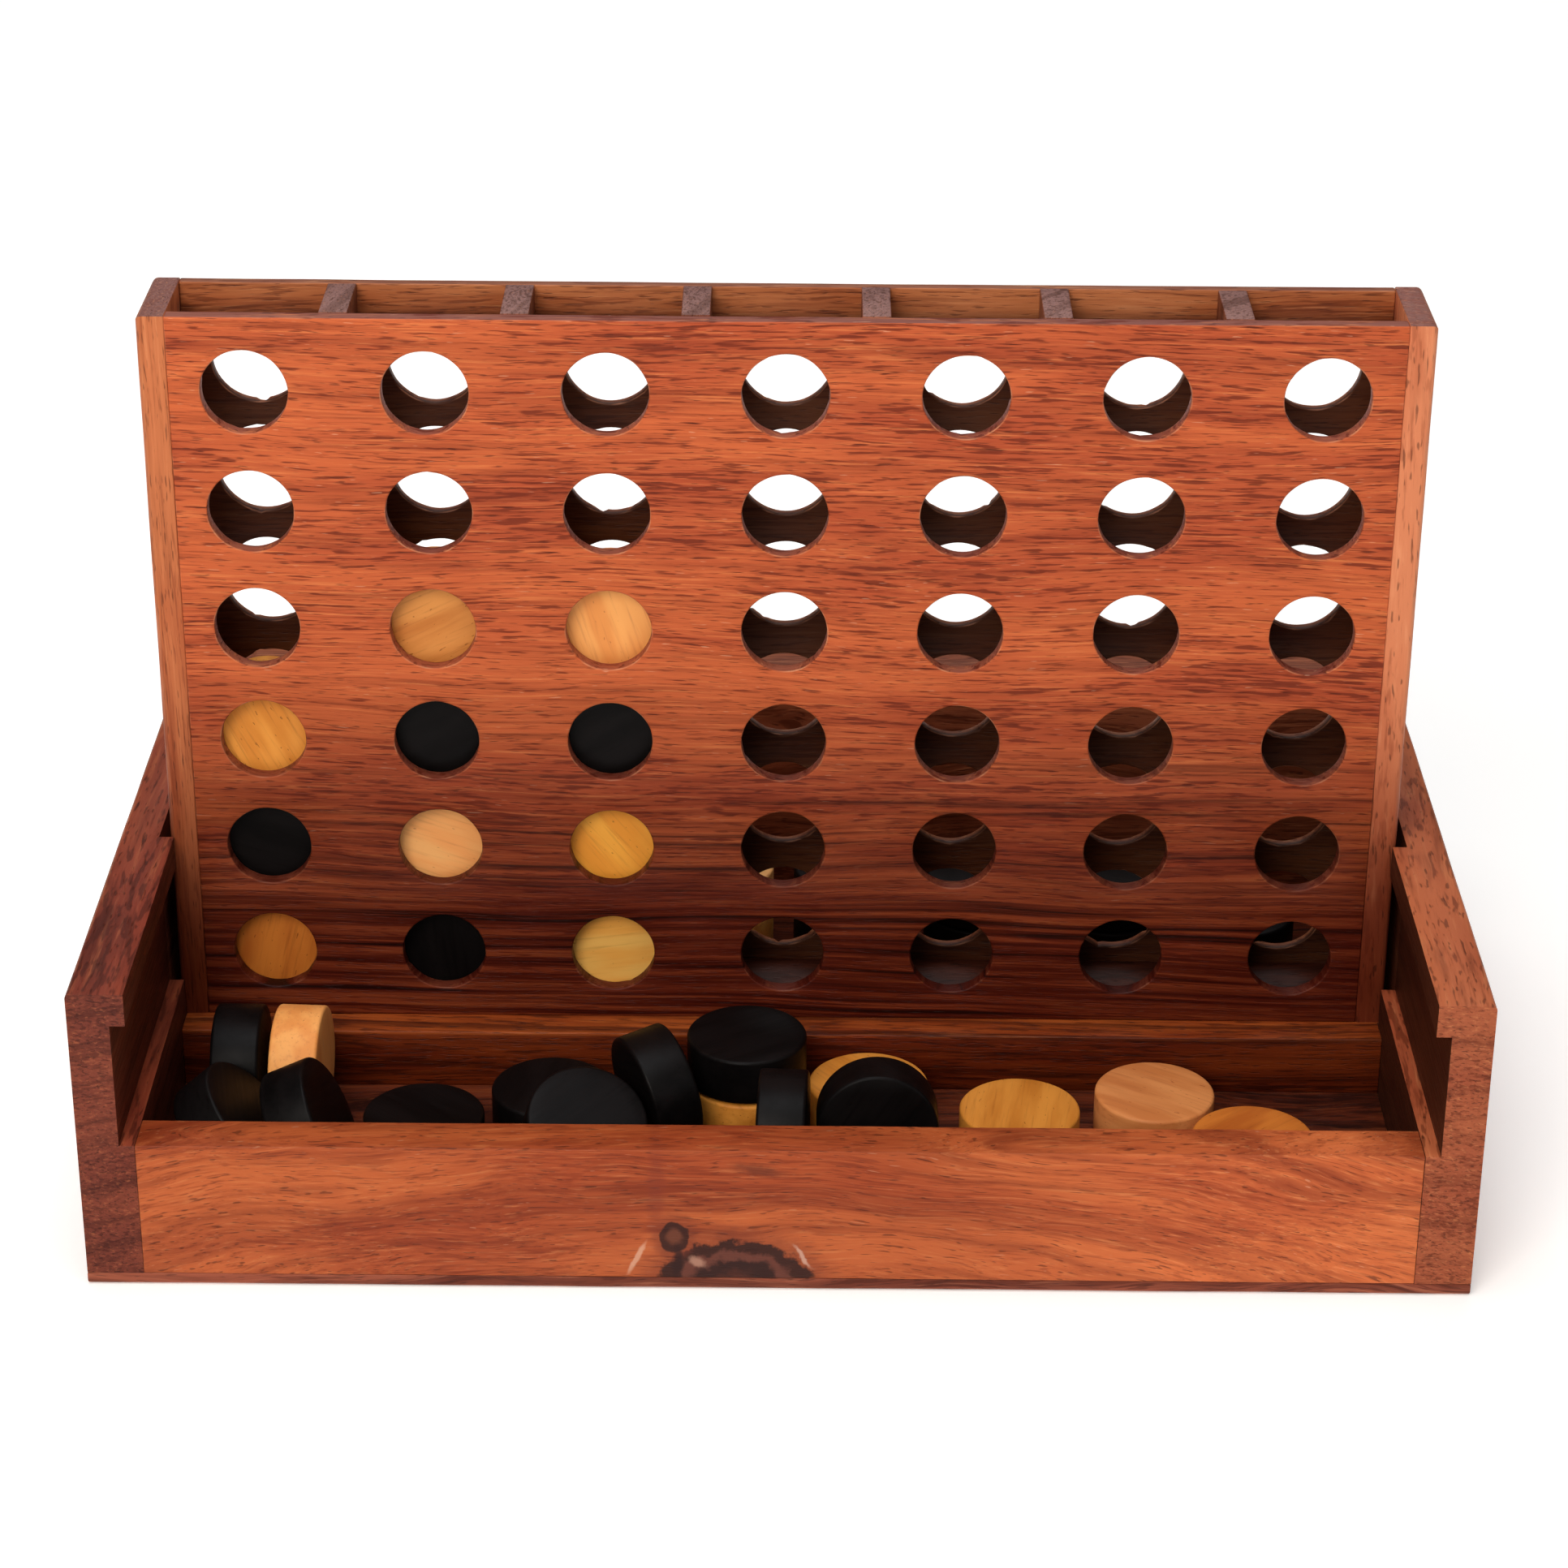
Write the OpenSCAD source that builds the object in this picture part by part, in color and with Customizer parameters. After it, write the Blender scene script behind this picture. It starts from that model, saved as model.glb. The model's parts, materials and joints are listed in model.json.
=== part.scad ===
// Four in a row set: an upright frame of seven columns that stands in its own storage box.
// Millimetres, +Z up. The origin is on the underside, at the middle of the box, with the
// open tray towards -Y and the frame's width along X.

/* [Discs] */
// Diameter of a disc
disc_d = 28.6; // [24:0.1:35]
// Thickness of a disc
disc_t = 12; // [10:0.1:14]
// Chamfer on both rims of a disc
disc_chamfer = 0.5; // [0.2:0.1:1]

/* [Frame] */
// Number of rows of sight holes
rows = 6; // [4:1:8]
// Number of columns
columns = 7; // [7:1:9]
// Side play of a disc in its column
column_play = 5.9; // [2:0.1:8]
// Front to back play of a disc in its column
depth_play = 8.5; // [3:0.1:12]
// Gap from one row of holes to the next, over the disc diameter
row_gap = 0.2; // [0:0.1:0.6]
// Height left above the top row of discs
top_margin = 3.4; // [1:0.1:12]
// Thickness of the front panel
front_panel_t = 4; // [3:0.1:6]
// Thickness of the back panel
back_panel_t = 3; // [2.5:0.1:6]
// Thickness of the two side rails
rail_t = 6.5; // [5:0.1:10]
// Thickness of the dividers between the columns
divider_t = 6.6; // [4:0.1:9]
// Thickness of the strip that closes the columns at the bottom
strip_t = 3.3; // [2:0.1:6]
// Diameter of the sight holes in the front panel
hole_d = 20; // [14:0.1:22]
// Diameter of the sight holes in the back panel
back_hole_d = 21.6; // [14:0.1:23]
// Height of the back panel's holes over those in the front panel
back_hole_rise = 0.4; // [0:0.1:1.2]
// Gap between a disc and the back of the front panel
disc_face_gap = 0.5; // [0.3:0.1:2]

/* [Box] */
// Thickness of the left and right sides
side_t = 13; // [10:0.1:18]
// Thickness of the low front wall
front_t = 11.5; // [8:0.1:16]
// Thickness of the back wall
back_t = 12; // [8:0.1:16]
// Height of the front wall's top, level with the groove floor
front_h = 37; // [34:0.5:50]
// Thickness of the base board under the whole box
base_t = 3; // [2:0.1:5]
// Thickness of the floor board between the walls
floor_t = 9.5; // [4:0.1:12]
// Height of the rest bar's top
bar_top = 27.5; // [26:0.1:32]
// Depth of the ledge that the bar shows in front of the frame
ledge_d = 8.5; // [4:0.1:14]
// Depth that the bar reaches behind the frame
bar_rear = 1; // [0:0.1:10]
// Spare depth in the tray beyond two discs
tray_clear = 1.4; // [1.4:0.1:6]

/* [Grooves] */
// Depth of the lid grooves in the sides
groove_depth = 3.5; // [2.5:0.1:6]
// Depth of the frame's edge in each groove
engagement = 1; // [0.5:0.1:1.8]
// Height of the groove over the frame's thickness
groove_clear = 3.5; // [0.5:0.1:6]
// Height of the lip above the groove
lip_h = 8; // [5:0.1:14]
// Clearance of the upright housing on each face of the frame
housing_clear = 0.5; // [0.3:0.1:1.5]
// Gap between the stored frame and the back wall
lid_gap = 1.5; // [0.5:0.1:4]

/* [Hidden] */
// Frame sizes
column_w = disc_d + column_play;
column_pitch = column_w + divider_t;
row_pitch = disc_d + row_gap;
frame_w = columns * column_w + (columns - 1) * divider_t + 2 * rail_t;
frame_h = strip_t + rows * row_pitch + top_margin;
frame_inner = disc_t + depth_play;
frame_t = front_panel_t + frame_inner + back_panel_t;

// Box sizes
inner_w = frame_w - 2 * engagement;
box_w = inner_w + 2 * side_t;
box_d = frame_h + lid_gap + back_t;
groove_h = frame_t + groove_clear;
box_h = front_h + groove_h + lip_h;
tray_d = 2 * disc_d + tray_clear;
floor_z = base_t + floor_t;

// Places along Y, from front to back
box_front = -box_d / 2;
tray_front = box_front + front_t;
bar_front = tray_front + tray_d;
frame_front = bar_front + ledge_d;
frame_back = frame_front + frame_t;
back_front = box_d / 2 - back_t;
rear_y = frame_back + (back_front - frame_back) / 2;

// Places of the columns and rows in the frame
panel_w = frame_w - 2 * rail_t;
function column_x(i) = (i - (columns - 1) / 2) * column_pitch;
function row_z(k) = bar_top + strip_t + disc_d / 2 + k * row_pitch;

// Discs in the first columns, bottom one first
column_colours = [
    ["natural", "black", "natural"],
    ["black", "natural", "black", "natural"],
    ["natural", "natural", "black", "natural"],
];

// Tilt of a disc that lies with its high side on the rim of the disc beside it, worked out
// from how far its low edge lies from that rim
prop_gap = 0.4;
prop_reach = 0.971 * disc_d - 0.75 * disc_t;
prop_tilt = atan((disc_t + prop_gap) / prop_reach);

// Discs in the tray: colour, x in diameters and in thicknesses from the left side,
// y in diameters from the front wall, tilt and turn of the axis, discs beneath
tray_places = [
    ["black", 0.58, 0, 1.53, 90, 0, 0],
    ["natural", 0.58, 1.2, 1.525, 90, -3, 0],
    ["black", 0.65, 0, 0.51, 48, 0, 0],
    ["black", 0.85, 1, 0.51, 65, 0, 0],
    ["black", 1.74, 1, 0.9, 0, 0, 0],
    ["black", 2.77, 1, 1.35, 0, 0, 0],
    ["black", 3.08, 1, 0.56, prop_tilt, -68, 0],
    ["black", 3.45, 1.5, 1.15, 81, 25, 0],
    ["natural", 3.98, 2, 1.53, 0, 0, 0],
    ["black", 3.98, 2, 1.53, 0, 0, 1],
    ["black", 4.08, 2.5, 0.52, 90, -3, 0],
    ["natural", 5, 2, 1.47, 0, 0, 0],
    ["black", 4.6, 3.1, 0.65, 86, -90, 0],
    ["natural", 6.25, 2, 1.06, 0, 0, 0],
    ["natural", 7.39, 2, 1.35, 0, 0, 0],
    ["natural", 8.14, 2, 0.64, 0, 0, 0],
];

// Discs behind the frame: a row of stacks of two, natural on the left and black on the right
rear_stacks = 8;
rear_single = 7;
rear_pitch = (inner_w - disc_d) / (rear_stacks - 1) * 0.9;
function rear_x(i) = (i - (rear_stacks - 1) / 2) * rear_pitch;

// Height of a disc's centre over its support when its axis is tilted
function rest_z(tilt) = disc_d / 2 * sin(tilt) + disc_t / 2 * cos(tilt);

// All discs: colour, centre, tilt, turn
column_discs = [
    for (c = [0 : len(column_colours) - 1])
        for (k = [0 : len(column_colours[c]) - 1])
            [
                column_colours[c][k],
                [
                    column_x(c),
                    frame_front + front_panel_t + disc_face_gap + disc_t / 2,
                    bar_top + strip_t + disc_d * (k + 0.5),
                ],
                90,
                90,
            ],
];
tray_discs = [
    for (p = tray_places)
        [
            p[0],
            [
                -inner_w / 2 + p[1] * disc_d + p[2] * disc_t,
                tray_front + p[3] * disc_d,
                floor_z + p[6] * disc_t + rest_z(p[4]),
            ],
            p[4],
            p[5],
        ],
];
rear_discs = [
    for (i = [0 : rear_stacks - 1])
        for (k = [0 : i == rear_single ? 0 : 1])
            [
                i < rear_stacks / 2 ? "natural" : "black",
                [rear_x(i), rear_y, floor_z + disc_t * (k + 0.5)],
                0,
                0,
            ],
];
discs = concat(column_discs, tray_discs, rear_discs);
function same_before(i) = len([for (j = [0 : i]) if (discs[j][0] == discs[i][0]) j]);
function disc_name(i) = str(discs[i][0], "_disc_", same_before(i));
function divider_name(i) = str("column_divider_", i);

// Small overshoot that lets a cut pass right through a face
cut = 1;
$fn = 96;

// A box from its lowest to its highest corner
module block(low, high) {
    translate(low) cube(high - low);
}

module base_board() {
    color("#6b3a22")
        block([-box_w / 2, -box_d / 2, 0], [box_w / 2, box_d / 2, base_t]);
}

module floor_board() {
    color("#4a2015")
        block([-inner_w / 2, tray_front, base_t], [inner_w / 2, back_front, floor_z]);
}

module front_wall() {
    color("#b0693a")
        block([-inner_w / 2, box_front, base_t], [inner_w / 2, tray_front, front_h]);
}

module back_wall() {
    color("#8f4a2c")
        block([-inner_w / 2, back_front, base_t], [inner_w / 2, box_d / 2, box_h]);
}

// The side on +X, with its lid groove and the upright housing for the frame
module side_board() {
    groove_wall = inner_w / 2 + groove_depth;
    difference() {
        block([inner_w / 2, box_front, base_t], [box_w / 2, box_d / 2, box_h]);
        block(
            [inner_w / 2 - cut, box_front - cut, front_h],
            [groove_wall, back_front, front_h + groove_h]
        );
        block(
            [inner_w / 2 - cut, frame_front - housing_clear, bar_top],
            [groove_wall, frame_back + housing_clear, box_h + cut]
        );
    }
}

module left_side() {
    color("#6e3322") mirror([1, 0, 0]) side_board();
}

module right_side() {
    color("#8a4429") side_board();
}

module rest_bar() {
    color("#8a4a24")
        block(
            [-inner_w / 2, bar_front, floor_z],
            [inner_w / 2, frame_back + bar_rear, bar_top]
        );
}

// A frame panel from y to y + thickness, with its grid of sight holes
module sight_panel(y, thickness, d, rise) {
    difference() {
        block(
            [-panel_w / 2, y, bar_top],
            [panel_w / 2, y + thickness, bar_top + frame_h]
        );
        for (i = [0 : columns - 1], k = [0 : rows - 1])
            translate([column_x(i), y - cut, row_z(k) + rise])
                rotate([-90, 0, 0])
                    cylinder(d = d, h = thickness + 2 * cut);
    }
}

module front_panel() {
    color("#a3492a") sight_panel(frame_front, front_panel_t, hole_d, 0);
}

module back_panel() {
    color("#93452b")
        sight_panel(frame_back - back_panel_t, back_panel_t, back_hole_d, back_hole_rise);
}

// The rail on +X
module side_rail() {
    block(
        [panel_w / 2, frame_front, bar_top],
        [frame_w / 2, frame_back, bar_top + frame_h]
    );
}

module left_rail() {
    color("#c07a4a") mirror([1, 0, 0]) side_rail();
}

module right_rail() {
    color("#b5673c") side_rail();
}

module bottom_strip() {
    color("#7a3c26")
        block(
            [-panel_w / 2, frame_front + front_panel_t, bar_top],
            [panel_w / 2, frame_back - back_panel_t, bar_top + strip_t]
        );
}

// Divider number i stands between columns i and i + 1
module column_divider(i) {
    x = column_x(i - 1) + column_pitch / 2;
    color("#8a4a36")
        block(
            [x - divider_t / 2, frame_front + front_panel_t, bar_top + strip_t],
            [x + divider_t / 2, frame_back - back_panel_t, bar_top + frame_h]
        );
}

// A disc on its own axis, centred on the origin
module disc_blank() {
    r = disc_d / 2;
    h = disc_t / 2;
    c = disc_chamfer;
    rotate_extrude()
        polygon([[0, -h], [r - c, -h], [r, -h + c], [r, h - c], [r - c, h], [0, h]]);
}

module game_disc(i) {
    colour = discs[i][0] == "black" ? "#1c1614" : "#d79a55";
    color(colour)
        translate(discs[i][1])
            rotate([0, discs[i][2], discs[i][3]])
                disc_blank();
}

base_board();
floor_board();
front_wall();
back_wall();
left_side();
right_side();
rest_bar();
front_panel();
back_panel();
left_rail();
right_rail();
bottom_strip();
for (i = [1 : columns - 1])
    column_divider(i);
for (i = [0 : len(discs) - 1])
    game_disc(i);
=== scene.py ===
import json
import math
import random

import bmesh
import bpy
from mathutils import Matrix, Vector, noise


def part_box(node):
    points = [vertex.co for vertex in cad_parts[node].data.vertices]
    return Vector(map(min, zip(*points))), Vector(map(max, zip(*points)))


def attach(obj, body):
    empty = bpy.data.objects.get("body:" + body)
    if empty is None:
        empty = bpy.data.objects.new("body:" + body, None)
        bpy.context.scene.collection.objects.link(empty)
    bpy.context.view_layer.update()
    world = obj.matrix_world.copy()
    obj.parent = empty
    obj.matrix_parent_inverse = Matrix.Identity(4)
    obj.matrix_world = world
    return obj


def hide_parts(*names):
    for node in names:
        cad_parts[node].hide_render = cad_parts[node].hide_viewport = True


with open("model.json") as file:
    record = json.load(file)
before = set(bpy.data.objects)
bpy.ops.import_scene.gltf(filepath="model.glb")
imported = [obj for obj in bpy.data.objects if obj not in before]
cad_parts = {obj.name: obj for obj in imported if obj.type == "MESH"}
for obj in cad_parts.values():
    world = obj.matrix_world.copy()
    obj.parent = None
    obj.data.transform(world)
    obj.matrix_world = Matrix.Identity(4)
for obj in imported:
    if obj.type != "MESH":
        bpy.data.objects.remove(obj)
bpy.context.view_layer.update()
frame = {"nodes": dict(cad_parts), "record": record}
print("frame loaded:", len(frame["nodes"]), "nodes")

mm = 0.001      # lengths in the dictionaries are in millimetres
noise.seed_set(5)       # unseeded, the vector noise follows the clock


def linearColour(hexValue):
    channels = [int(hexValue[i:i + 2], 16) / 255 for i in (1, 3, 5)]
    return (*[c / 12.92 if c <= 0.04045 else ((c + 0.055) / 1.055) ** 2.4 for c in channels], 1)


# Adds a node, sets its settings, and gives its inputs a value or a link
def addNode(tree, kind, inputs, **settings):
    node = tree.nodes.new(kind)
    for name, value in settings.items():
        setattr(node, name, value)
    for key, value in inputs.items():
        if isinstance(value, bpy.types.NodeSocket):
            tree.links.new(value, node.inputs[key])
        else:
            node.inputs[key].default_value = value
    return node


def newMaterial(name):
    material = bpy.data.materials.new(name)
    material.use_nodes = True
    return material, material.node_tree, material.node_tree.nodes["Principled BSDF"]


# A noise drawn out by its own scale along each axis; gives its value and its colour
def drawnNoise(tree, place, scale, detail, roughness):
    stretched = addNode(tree, "ShaderNodeMapping", {"Vector": place, "Scale": scale}).outputs[0]
    return addNode(tree, "ShaderNodeTexNoise", {
        "Vector": stretched, "Scale": 1.0, "Detail": detail, "Roughness": roughness}).outputs


# Paints over a colour where a pattern runs from start, with the least paint, to full, with
# the most; the pattern may run up or down, and a mask limits where the paint lies
def paintOver(tree, colour, pattern, start, full, most, paint, least=0.0, mask=None, blend="MIX"):
    low, high = (least, most) if start < full else (most, least)
    share = addNode(tree, "ShaderNodeMapRange", {
        "Value": pattern, "From Min": min(start, full), "From Max": max(start, full),
        "To Min": low, "To Max": high}, interpolation_type="SMOOTHSTEP").outputs[0]
    if mask is not None:
        share = addNode(tree, "ShaderNodeMath", {
            0: mask, 1: share}, operation="MULTIPLY").outputs[0]
    return addNode(tree, "ShaderNodeMix", {
        0: share, 6: colour, 7: linearColour(paint)},
        data_type="RGBA", blend_type=blend).outputs[2]


def link(obj):
    bpy.context.scene.collection.objects.link(obj)
    return obj


camera = {
    "place": (3.4, -857.5, 499.8),
    "turn": (64.049, -0.337, 0.386),    # degrees
    "lens": 90.03,
    "sensor": 36,
    "reach": (10, 20000),               # nearest and farthest that it sees
}


def makeCamera():
    data = bpy.data.cameras.new("camera")
    data.lens = camera["lens"]
    data.sensor_width = camera["sensor"]
    data.clip_start, data.clip_end = [distance * mm for distance in camera["reach"]]
    eye = link(bpy.data.objects.new("camera", data))
    eye.location = Vector(camera["place"]) * mm
    eye.rotation_euler = [math.radians(angle) for angle in camera["turn"]]
    bpy.context.scene.camera = eye


studio = {
    "floorSize": 8000,
    "floorDrop": 0.2,           # keeps the floor clear of the base board
    "floorColour": "#fbfaf8",
    "floorRoughness": 0.9,
    "floorGlow": (0.32, 0.95),  # the sweep is lit from below, more so far from the object
    "glowReach": (700, 2200),   # distances of the two glows
    "worldColour": "#ffffff",
    "worldStrength": 0.05,
    # place, aim, width (mm), power (W), colour
    "lights": {
        "keyLight": ((-380, -1050, 860), (0, 0, 80), 700, 10.5, "#fff8ef"),
        "fillLight": ((900, -900, 620), (0, 0, 80), 800, 1.5, "#ffffff"),
        "topLight": ((-100, -250, 1400), (0, 0, 100), 900, 9, "#fbfcff"),
        "backLight": ((0, 800, 900), (0, 800, 0), 1000, 5, "#ffffff"),
    },
}


# The floor is a matt white sweep: no gloss, and a glow that keeps its far parts white
def makeStudio():
    bm = bmesh.new()
    bmesh.ops.create_grid(bm, size=studio["floorSize"] * mm / 2)
    bmesh.ops.translate(bm, verts=bm.verts, vec=(0, 0, -studio["floorDrop"] * mm))
    mesh = bpy.data.meshes.new("studioFloor")
    bm.to_mesh(mesh)
    bm.free()
    material, tree, shader = newMaterial("matt white sweep")
    shader.inputs["Base Color"].default_value = linearColour(studio["floorColour"])
    shader.inputs["Roughness"].default_value = studio["floorRoughness"]
    shader.inputs["Emission Color"].default_value = linearColour(studio["floorColour"])
    place = addNode(tree, "ShaderNodeTexCoord", {}).outputs["Object"]
    away = addNode(tree, "ShaderNodeVectorMath", {0: place}, operation="LENGTH").outputs[1]
    near, far = [distance * mm for distance in studio["glowReach"]]
    low, high = studio["floorGlow"]
    glow = addNode(tree, "ShaderNodeMapRange", {
        "Value": away, "From Min": near, "From Max": far, "To Min": low, "To Max": high})
    tree.links.new(glow.outputs[0], shader.inputs["Emission Strength"])
    mesh.materials.append(material)
    link(bpy.data.objects.new("studioFloor", mesh))
    world = bpy.data.worlds.new("studio")
    world.use_nodes = True
    background = world.node_tree.nodes["Background"]
    background.inputs["Color"].default_value = linearColour(studio["worldColour"])
    background.inputs["Strength"].default_value = studio["worldStrength"]
    bpy.context.scene.world = world
    for name, (place, aim, width, power, colour) in studio["lights"].items():
        data = bpy.data.lights.new(name, "AREA")
        data.size = width * mm
        data.energy = power
        data.color = linearColour(colour)[:3]
        lamp = link(bpy.data.objects.new(name, data))
        lamp.location = Vector(place) * mm
        towards = Vector(aim) - Vector(place)
        lamp.rotation_euler = towards.to_track_quat("-Z", "Y").to_euler()
    bpy.context.scene.view_settings.view_transform = "Standard"


makeCamera()
makeStudio()
print("studio ready")

# Turns that bring the fibres onto the pattern's own X
fibreTurns = {"x": (0, 0, 0), "y": (0, 0, -90), "z": (0, 90, 0)}

# Size of each pattern in mm: along the fibres, across them; then detail and roughness
woodPatterns = {
    "blotch": ((85, 14), 3.0, 0.55),     # slow change of colour
    "streak": ((40, 2.4), 3.0, 0.60),    # soft dark bundles of fibres
    "dash": ((10, 0.8), 2.0, 0.50),      # short dark lines, denser where the wood is darker
    "fibre": ((26, 0.7), 4.0, 0.62),     # the fine lines of the planed face
    "pore": ((4.5, 0.42), 1.0, 0.40),    # open pores, wider than real so that they show
}

fibreRange = (0.3, 0.7)     # values that the fibre pattern mostly lies between

# How finely each mesh is read and cut, for the boards, panels and discs alike
meshWork = {
    "merge": 0.001,     # points this near are one, in mm
    "seam": 0.01,       # the same where cells of a grid meet
    "flat": 1,          # degrees between faces that count as one flat face
    "sharp": 50,        # degrees at which an edge is rounded
    "smooth": 40,       # degrees up to which the shading runs on
    "facing": 0.75,     # share of a face's normal along an axis at which it faces that way
}

rosewoodBase = {
    "fibre": "x",
    "shift": (0, 0, 0),
    "tilt": 1.5,                # degrees that the fibres lean
    "wobble": (70, 9.0),        # waviness: length and height in mm
    "pith": (0, -70, -160),     # middle of the growth bands, mm from the origin
    "stretch": 0.03,            # how fast the bands close along the fibres
    "ring": 7.0,                # spacing of the growth bands in mm
    "mid": "#a8502f",
    "light": "#c46a40",
    "dark": "#5e2416",
    "glow": "#dd8b5b",          # the palest fibres
    "poreColour": "#35130b",
    "endAndSheenColour": "#6e4740",     # end grain drinks more oil and looks darker; its grey cast is a painted sheen of the white backdrop on the top faces
    "wornColour": "#c58362",
    "bareAndShadeColour": "#240d07",  # painted shade on the faces inside, laid over their rough wood left without oil
    "fleckColour": "#dba685",   # torn fibres that stay pale under the oil
    "coarse": 1.0,              # how much larger than usual the blotches and streaks are
    # how much of each layer shows
    "bands": 0.50,
    "streaks": 0.50,
    "dashes": 0.60,
    "glints": 0.45,
    "pores": 0.55,
    "poreEdge": (0.60, 0.72),   # values of the pattern between which a pore deepens
    "end": 0.75,
    "bareAndShade": 0.0,
    "flecks": 0.0,
    "worn": 0.55,
    "dashShade": -0.45,         # how much denser the dashes are where the wood is darker
    "roughness": 0.44,
    "fibreSheen": (0.10, -0.04),    # change of roughness from dull fibres to bright ones
    "gloss": 0.15,              # specular level of a thin coat of oil
    "depth": 0.16,              # height of the relief in mm
    "fibreRelief": 0.7,         # shares of that height
    "poreRelief": -0.8,
    "bump": 0.6,
}


# Waves the fibres, and gives each point its place along them, its distance from the pith
# and its depth in the board
def followFibres(tree, board, look):
    length, height = look["wobble"]
    waves = drawnNoise(tree, board, (1 / length, 3 / length, 3 / length), 2.0, 0.45)["Color"]
    swayed = addNode(tree, "ShaderNodeVectorMath", {
        0: waves, 1: (0, height * 2, height * 2), 2: board},
        operation="MULTIPLY_ADD").outputs[0]
    along, across, upward = addNode(tree, "ShaderNodeSeparateXYZ", {0: swayed}).outputs
    fromPith = addNode(tree, "ShaderNodeVectorMath", {
        0: swayed, 1: look["pith"]}, operation="SUBTRACT").outputs[0]
    rounds = addNode(tree, "ShaderNodeMapping", {
        "Vector": fromPith, "Scale": (look["stretch"], 1, 1)}).outputs[0]
    radius = addNode(tree, "ShaderNodeVectorMath", {0: rounds}, operation="LENGTH").outputs[1]
    depth = addNode(tree, "ShaderNodeMath", {
        0: across, 1: upward}, operation="SUBTRACT").outputs[0]
    ringed = addNode(tree, "ShaderNodeCombineXYZ", {0: along, 1: radius, 2: depth}).outputs[0]
    return ringed, radius


# The patterns of the wood and the marks on the mesh, by name
def findPatterns(tree, ringed, radius, look):
    found = {"band": addNode(tree, "ShaderNodeTexNoise", {
        "W": radius, "Scale": 1 / look["ring"], "Detail": 3.0, "Roughness": 0.6},
        noise_dimensions="1D").outputs[0]}
    for key, ((run, width), detail, rough) in woodPatterns.items():
        if key in ("blotch", "streak"):
            run, width = run * look["coarse"], width * look["coarse"]
        scale = (1 / run, 1 / width, 0.5 / width)
        found[key] = drawnNoise(tree, ringed, scale, detail, rough)[0]
    found["dash"] = addNode(tree, "ShaderNodeMath", {
        0: found["blotch"], 1: look["dashShade"], 2: found["dash"]},
        operation="MULTIPLY_ADD").outputs[0]
    for mark in ("endGrain", "bareAndShade", "wear"):
        found[mark] = addNode(tree, "ShaderNodeAttribute", {}, attribute_name=mark).outputs[2]
    return found


# Dark heartwood below a line, with near-black lines in it
def paintHeart(tree, colour, height, ringed, heart):
    reach = addNode(tree, "ShaderNodeMapRange", {
        "Value": height, "From Min": heart["full"] * mm, "From Max": heart["start"] * mm,
        "To Min": 1.0, "To Max": 0.0}, interpolation_type="SMOOTHSTEP").outputs[0]
    run, width = heart["stripe"]
    stripe = drawnNoise(tree, ringed, (1 / run, 1 / width, 0), 4.0, 0.65)[0]
    for start, full, least, most, paint in heart["coats"]:
        colour = paintOver(tree, colour, stripe, start, full, most, paint, least, reach)
    return colour


# Knots, cracks and torn spots: ragged ellipsoids, each with rings of colour in it
def paintKnots(tree, colour, board, knots):
    raggedness = addNode(tree, "ShaderNodeTexNoise", {
        "Vector": board, "Scale": 0.35, "Detail": 4.0, "Roughness": 0.6}).outputs["Color"]
    for knot in knots:
        moved = addNode(tree, "ShaderNodeVectorMath", {
            0: raggedness, 1: (knot["ragged"],) * 3, 2: board},
            operation="MULTIPLY_ADD").outputs[0]
        half = knot["ragged"] / 2       # the noise is about a half on average
        centred = addNode(tree, "ShaderNodeVectorMath", {
            0: moved, 1: [value + half for value in knot["centre"]]},
            operation="SUBTRACT").outputs[0]
        turned = addNode(tree, "ShaderNodeMapping", {
            "Vector": centred, "Rotation": (0, math.radians(knot.get("turn", 0)), 0)}).outputs[0]
        scaled = addNode(tree, "ShaderNodeMapping", {
            "Vector": turned, "Scale": [1 / size for size in knot["size"]]}).outputs[0]
        reach = addNode(tree, "ShaderNodeVectorMath", {0: scaled},
                        operation="LENGTH").outputs[1]
        for start, full, most, paint in knot["rings"]:
            colour = paintOver(tree, colour, reach, start, full, most, paint)
    return colour


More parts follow.
